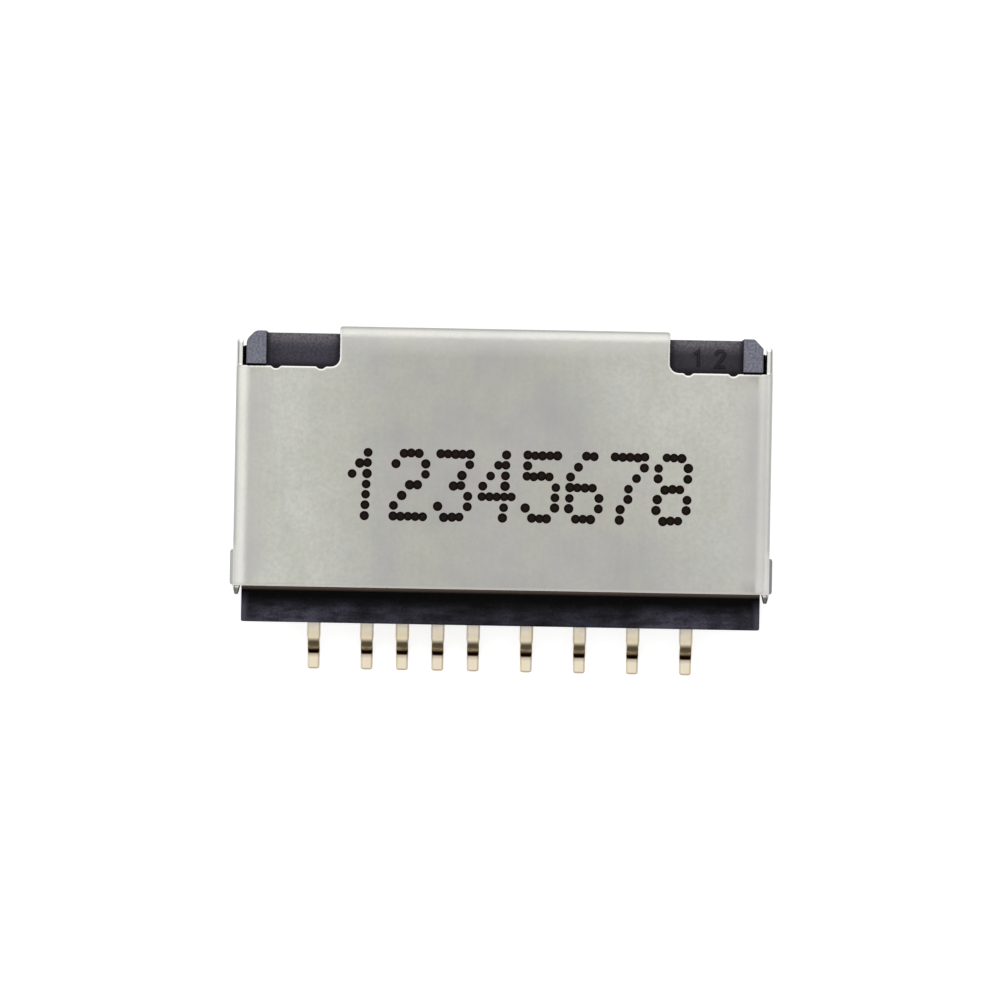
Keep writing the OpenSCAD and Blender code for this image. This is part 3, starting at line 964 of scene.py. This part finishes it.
def plated_metal():
    """Satin tin plating: cloudy patches, faint rolling lines and mottled bends, with painted light and
    shade: a painted highlight on the bends and edges, which are also smoother, and painted shade on upright
    faces, tabs and rear tips.
    """
    t = Tree(bpy.data.materials.new("plated_metal"))
    edge = t.attribute("edge")
    bend = t.attribute("bend")
    across = t.attribute("across")
    x, y, z = t.axes()
    # How much painted highlight the bends take: more on the right, and most there towards the rear
    bend_sheen = t.sided(x, 0.27, t.ramp(y, -2.2, -1.7, 0.40, 0.31))
    sheen_and_burnish = t.most(t.times(bend, bend_sheen), edge)
    colour = tin_clouds(t, x, y, bend)
    colour = tin_edges(t, colour, x, y, edge, sheen_and_burnish)
    colour = tin_shades(t, colour, x, y, z, edge, across)
    smooth = t.times(t.ramp(across, -0.5, -0.8), t.ramp(y, WALL_FRONT - 0.4, WALL_FRONT - 0.2))
    lines = t.noise(1.0, 2, (9, 0.5, 2))
    rough = t.ramp(t.noise(1.3, 4), 0.3, 0.7, 0.32, 0.40)
    rough = t.math("ADD", rough, t.ramp(lines, 0.3, 0.7, -0.02, 0.03))
    rough = t.math("ADD", rough, t.times(sheen_and_burnish, -0.08))
    rough = t.math("SUBTRACT", rough, t.times(smooth, 0.3))
    normal = t.bump(t.noise(14, 2), 0.004, 0.35)
    normal = t.bump(lines, 0.01, 0.15, normal)
    normal = t.bump(t.noise(5.0, 3), 0.03, t.times(bend, 0.4), normal)
    return t.finish({"Base Color": colour, "Metallic": 1.0, "Roughness": rough, "Normal": normal})


# Colours of the housing's plastic, and of the painted light and shade on it
PLASTIC = (0.010, 0.0095, 0.013)
PLASTIC_MOTTLE = (0.016, 0.0155, 0.022)
PLASTIC_LEDGE_SHADE = (0.0015, 0.001, 0.001)
PLASTIC_REAR_LIT = (0.066, 0.064, 0.090)
PLASTIC_RIM_GLOW = (0.16, 0.115, 0.09)
PLASTIC_SHELF_LEFT = (0.058, 0.054, 0.070)
PLASTIC_SHELF_RIGHT = (0.043, 0.040, 0.049)
PLASTIC_SHELF_FRONT_LIT = (0.155, 0.143, 0.16)
PLASTIC_PORE = (0.026, 0.023, 0.030)
PLASTIC_SHADE = (0.012, 0.010, 0.014)
PLASTIC_POST_LIT = (0.118, 0.121, 0.150)
PLASTIC_POST_LIT_PALE = (0.188, 0.193, 0.237)
PLASTIC_EDGE_HIGHLIGHT = (0.075, 0.07, 0.075)
PLASTIC_FIBRE = (0.05, 0.05, 0.06)
SPECULAR = 0.06


def ledge_colour(t, colour, y, z, side, upward, pores):
    """The rear ledge with painted light and shade: painted black shade under the roof's edge, a painted
    brown glow of the roof's bright rim there, and painted light in paler blue streaks behind it and at both
    ends."""
    cloud = t.ramp(t.noise(0.9, 3, (1.6, 0.8, 1)), 0.3, 0.7, 0.3, 1.0)
    streaks = t.ramp(t.noise(2.6, 3, (0.6, 2.2, 1)), 0.36, 0.64, 0.55, 1.45)
    ledge = t.times(upward, t.ramp(z, 2.0, 1.85))
    middle = t.ramp(side, 1.0, 5.5, 0.38, 1.0)
    grain = t.ramp(pores, 0.38, 0.62, 0.8, 1.2)
    # Painted light: the ledge paler away from the roof's shade, darker in the middle and paler at both ends
    behind = t.ramp(y, ROOF_REAR - 0.28, ROOF_REAR - 0.78)
    rear = t.times(behind, middle, cloud, grain, streaks, ledge)
    rear = t.most(rear, t.times(ledge, t.ramp(side, 7.05, 7.2, 0.0, 0.9)))
    rear = t.times(rear, t.ramp(y, ROOF_REAR - 0.15, ROOF_REAR - 0.6))
    # Painted light: a brown glow spilling from the roof's bright rear rim
    fringe = t.times(ledge, t.ramp(y, ROOF_REAR - 0.13, ROOF_REAR - 0.02))
    fringe = t.times(fringe, t.ramp(y, ROOF_REAR + 0.15, ROOF_REAR + 0.05))
    # Painted shade: the ledge black under the roof
    colour = t.mix(ledge, colour, PLASTIC_LEDGE_SHADE)
    colour = t.mix(rear, colour, PLASTIC_REAR_LIT)
    return t.mix(fringe, colour, PLASTIC_RIM_GLOW)


def plateau_colour(t, x, y, side, pores):
    """The front plateaus: darker on the right, painted light making them paler towards the front, and
    painted shade beside the post, the tongue and the roof and on the mould number.
    """
    # Painted shade beside the post, the tongue and the roof's edge, and on the mould number's strokes
    by_post = t.ramp(side, POST_INNER - 0.12, POST_INNER - 0.03)
    by_tongue = t.ramp(side, TONGUE_W / 2 + 0.16, TONGUE_W / 2 + 0.04, 0.0, 0.9)
    by_roof = t.ramp(y, NOTCH_Y + 0.14, NOTCH_Y + 0.02, 0.0, 0.9)
    shade = t.most(by_post, by_tongue, by_roof, t.attribute("mark"))
    colour = t.mix(t.ramp(x, -3.0, 3.0), PLASTIC_SHELF_LEFT, PLASTIC_SHELF_RIGHT)
    # Painted light towards the plateau's front edge
    colour = t.mix(t.ramp(y, 4.15, 4.62, smooth=True), colour, PLASTIC_SHELF_FRONT_LIT)
    colour = t.mix(t.ramp(pores, 0.38, 0.6, 0.5, 0.0), colour, PLASTIC_PORE)
    return t.mix(t.times(shade, 0.7), colour, PLASTIC_SHADE)


def moulded_plastic():
    """Blue-black glass-filled plastic: eroded texture, painted light on the posts' tops and the front of the
    plateaus, and a patchy painted highlight on the rounded edges.
    """
    t = Tree(bpy.data.materials.new("moulded_plastic"))
    edge = t.attribute("edge")
    x, y, z = t.axes()
    up = t.facing("Z")
    upward = t.ramp(up, 0.6, 0.95)
    side = t.math("ABSOLUTE", x)
    mottle = t.noise(3.0, 4)
    pores = t.noise(17.0, 2)
    colour = t.mix(mottle, PLASTIC, PLASTIC_MOTTLE)
    colour = ledge_colour(t, colour, y, z, side, upward, pores)
    shelf = t.times(upward, t.ramp(z, 2.6, 2.85))
    colour = t.mix(shelf, colour, plateau_colour(t, x, y, side, pores))
    # Painted light: the tops of the posts lighter than the plastic around them
    post = t.times(t.ramp(up, 0.35, 0.7), t.ramp(z, 3.2, 3.26))
    lit_top = t.mix(t.ramp(pores, 0.38, 0.62), PLASTIC_POST_LIT, PLASTIC_POST_LIT_PALE)
    colour = t.mix(post, colour, lit_top)
    # Painted highlight in patches on the rounded edges
    edge_highlight = t.times(edge, t.ramp(t.noise(4.0, 3), 0.35, 0.6, 0.15, 0.6))
    colour = t.mix(edge_highlight, colour, PLASTIC_EDGE_HIGHLIGHT)
    fibres = t.ramp(t.noise(30, 1, (1, 0.3, 1)), 0.66, 0.74)
    colour = t.mix(t.times(fibres, 0.12), colour, PLASTIC_FIBRE)
    rough = t.ramp(mottle, 0.3, 0.7, 0.45, 0.6)
    normal = t.bump(t.noise(22, 3), 0.006, 0.5)
    normal = t.bump(pores, 0.012, 0.5, normal)
    sockets = {"Base Color": colour, "Roughness": rough, "Normal": normal, "Specular IOR Level": SPECULAR}
    return t.finish(sockets)


# Colours of the contacts' gilt, and of the painted light and shade on it
GILT = (0.86, 0.75, 0.60)
GILT_CLOUD = (0.80, 0.70, 0.53)
GILT_GREEN = (0.80, 0.72, 0.46)
GILT_SHOULDER_LIT = (1.0, 0.94, 0.82)
GILT_FOOT = (0.98, 0.87, 0.71)
GILT_EDGE_SHADE = (0.24, 0.205, 0.165)
GILT_HEEL_SHADE = (0.10, 0.07, 0.04)
# Painted shade in brown on the slope where each tail drops to the board
BROWN_LOW = (0.010, 0.004, 0.001)
BROWN_PALE = (0.33, 0.275, 0.19)
BROWN_DARK = (0.20, 0.165, 0.11)
BROWN_HIGH = (0.11, 0.085, 0.052)
GILT_GLANCE = (0.5, 0.42, 0.3, 1)
# Height below which a tail's foot is coloured paler, and its heel takes painted shade
FOOT_TOP = 0.3


def gilt_metal():
    """Pale gilt strip with a paler foot, painted light on the shoulder by the housing, painted shade along
    its rounded edges and at each heel, and painted brown shade where the tail drops to the board.
    """
    t = Tree(bpy.data.materials.new("gilt_metal"))
    edge = t.attribute("edge")
    _, y, z = t.axes()
    colour = t.mix(t.ramp(t.noise(3.0, 3), 0.35, 0.65), GILT, GILT_CLOUD)
    by_contact = t.noise(0.9, 1, (1, 0.01, 0.01))
    colour = t.mix(t.ramp(by_contact, 0.4, 0.6, 0.0, 0.5), colour, GILT_GREEN)
    # Painted light on the tail next to the housing, against the housing's shade
    colour = t.mix(t.ramp(y, BODY_REAR - 0.3, BODY_REAR, 0.0, 0.9), colour, GILT_SHOULDER_LIT)
    colour = t.mix(t.ramp(z, FOOT_TOP, 0.22, 0.0, 0.5), colour, GILT_FOOT)
    # Painted shade along the rounded edges, darkest at one tilt
    colour = t.mix(t.times(edge, 0.6), colour, GILT_EDGE_SHADE)
    # Painted shade at the heel of each foot
    heel = t.ramp(y, TAIL_END + FOOT_L - 0.08, TAIL_END + FOOT_L, 0.0, 0.35)
    colour = t.mix(t.times(heel, t.ramp(z, FOOT_TOP, 0.22)), colour, GILT_HEEL_SHADE)
    # Painted shade: the rear-facing slope of each tail brown, near black low down
    rearward = t.ramp(t.facing("Y"), -0.05, -0.6, smooth=True)
    behind = t.ramp(y, BODY_REAR - 0.1, BODY_REAR - 0.2)
    behind = t.times(behind, t.ramp(y, TAIL_END + 0.1, TAIL_END + 0.2))
    blotch = t.mix(t.ramp(t.noise(5.0, 2), 0.4, 0.6), BROWN_PALE, BROWN_DARK)
    brown = t.mix(t.ramp(z, 0.38, 0.56), BROWN_LOW, blotch)
    brown = t.mix(t.ramp(z, 0.64, 0.76), brown, BROWN_HIGH)
    colour = t.mix(t.times(rearward, behind), colour, brown)
    rough = t.ramp(t.noise(6.0, 3), 0.3, 0.7, 0.28, 0.42)
    rough = t.math("ADD", rough, t.times(rearward, 0.2))
    normal = t.bump(t.noise(16, 2), 0.003, 0.4)
    sockets = {"Base Color": colour, "Metallic": 1.0, "Roughness": rough, "Normal": normal}
    return t.finish({**sockets, "Specular Tint": GILT_GLANCE})


# Colours of the ink, and of the painted highlight in each dot
INK = (0.003, 0.001, 0.001)
INK_CENTRE_HIGHLIGHT = (0.012, 0.008, 0.006)
INK_BROWN = (0.012, 0.004, 0.002)


def printing_ink():
    """Brown-black ink, painted lighter in the middle of each dot as a painted highlight."""
    t = Tree(bpy.data.materials.new("printing_ink"))
    # Painted highlight: each dot lighter in its middle
    rim = t.ramp(t.attribute("rim"), 0.2, 0.7)
    colour = t.mix(rim, INK_CENTRE_HIGHLIGHT, INK)
    colour = t.mix(t.ramp(t.noise(8, 2), 0.4, 0.7, 0, 0.5), colour, INK_BROWN)
    rough = t.ramp(t.noise(10, 2), 0.3, 0.7, 0.45, 0.65)
    normal = t.bump(t.noise(20, 2), 0.003, 0.3)
    sockets = {"Base Color": colour, "Roughness": rough, "Normal": normal, "Specular IOR Level": SPECULAR}
    return t.finish(sockets)


shell = make_shell()
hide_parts("shell")
shell.data.materials.append(plated_metal())

housing = make_housing()
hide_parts("housing")
mark = make_mark()
plastic = moulded_plastic()
for piece in (housing, mark):
    piece.data.materials.append(plastic)

gilt = gilt_metal()
contacts = []
for name in sorted(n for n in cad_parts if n.startswith("terminal_")):
    contact = make_contact(name)
    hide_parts(name)
    contact.data.materials.append(gilt)
    contacts.append(contact)

digits = make_print()
digits.data.materials.append(printing_ink())

for piece in [shell, housing, mark, digits, *contacts]:
    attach(piece, "root")

# Camera: straight above the part, turned a little, and so far away that it sees almost no sides
CAMERA_TURN = math.radians(1.06)
CAMERA_X = -0.065
CAMERA_Y = FRONT_Y - 4.795
CAMERA_HEIGHT = 400.0
CAMERA_NEAR = 50.0
CAMERA_FAR = 20000.0
LENS = 513.5
PHOTO_SENSOR = 36.0


def make_camera():
    """The camera of the photograph."""
    data = bpy.data.cameras.new("camera")
    data.lens = LENS
    data.sensor_width = PHOTO_SENSOR
    data.clip_start = CAMERA_NEAR * MM
    data.clip_end = CAMERA_FAR * MM
    camera = bpy.data.objects.new("camera", data)
    camera.location = Vector((CAMERA_X, CAMERA_Y, SHELL_H + CAMERA_HEIGHT)) * MM
    camera.rotation_euler = (0, 0, CAMERA_TURN)
    bpy.context.scene.collection.objects.link(camera)
    bpy.context.scene.camera = camera


# Studio: brightness against the upward part of the direction, a bright ring round a softer top
SKY = ((0.0, 0.8), (0.2, 0.9), (0.45, 1.0), (0.8, 0.9), (0.92, 0.66), (1.0, 0.56))
SKY_STRENGTH = 1.5
# Axis, range of the direction along it, and brightness at both ends: the far rear and right are darker
SKY_SHADES = (("Y", -0.95, -0.3, 0.4, 1.0), ("X", 0.3, 0.9, 1.0, 0.7))
FLOOR_HALF = 2000.0
FLOOR_WHITE = 0.55
FLOOR_GLOW = 0.7


def make_world():
    """The white studio, as light from all directions."""
    t = Tree(bpy.data.worlds.new("studio"))
    bpy.context.scene.world = t.owner
    split = t.node("SeparateXYZ", {0: t.node("TexCoord").outputs["Generated"]})
    shades = [t.ramp(split.outputs[axis], *limits, smooth=True) for axis, *limits in SKY_SHADES]
    sky = t.node("ValToRGB", {0: split.outputs["Z"]})
    elements = sky.color_ramp.elements
    while len(elements) < len(SKY):
        elements.new(1.0)
    for element, (position, value) in zip(elements, SKY):
        element.position = position
        element.color = (value, value, value, 1)
    light = t.node("VectorMath", {0: sky.outputs[0], "Scale": t.times(*shades)}, operation="SCALE")
    background = t.node("Background", {"Color": light.outputs[0], "Strength": SKY_STRENGTH})
    t.node("OutputWorld", {"Surface": background.outputs[0]})


def make_floor():
    """A glowing white floor under the part."""
    mesh = bpy.data.meshes.new("floor")
    corners = [Vector((x, y, 0)) for x, y in ((-1, -1), (1, -1), (1, 1), (-1, 1))]
    mesh.from_pydata([corner * FLOOR_HALF * MM for corner in corners], [], [(0, 1, 2, 3)])
    floor = bpy.data.objects.new("floor", mesh)
    bpy.context.scene.collection.objects.link(floor)
    t = Tree(bpy.data.materials.new("floor_white"))
    tone = t.ramp(t.noise(0.05, 3), 0.3, 0.7, FLOOR_WHITE * 0.99, FLOOR_WHITE)
    rough = t.ramp(t.noise(0.2, 3), 0.3, 0.7, 0.75, 0.85)
    glow = {"Emission Color": (1, 1, 1, 1), "Emission Strength": FLOOR_GLOW}
    mesh.materials.append(t.finish({"Base Color": tone, "Roughness": rough, **glow}))


make_camera()
make_world()
make_floor()
bpy.context.scene.view_settings.view_transform = "Standard"
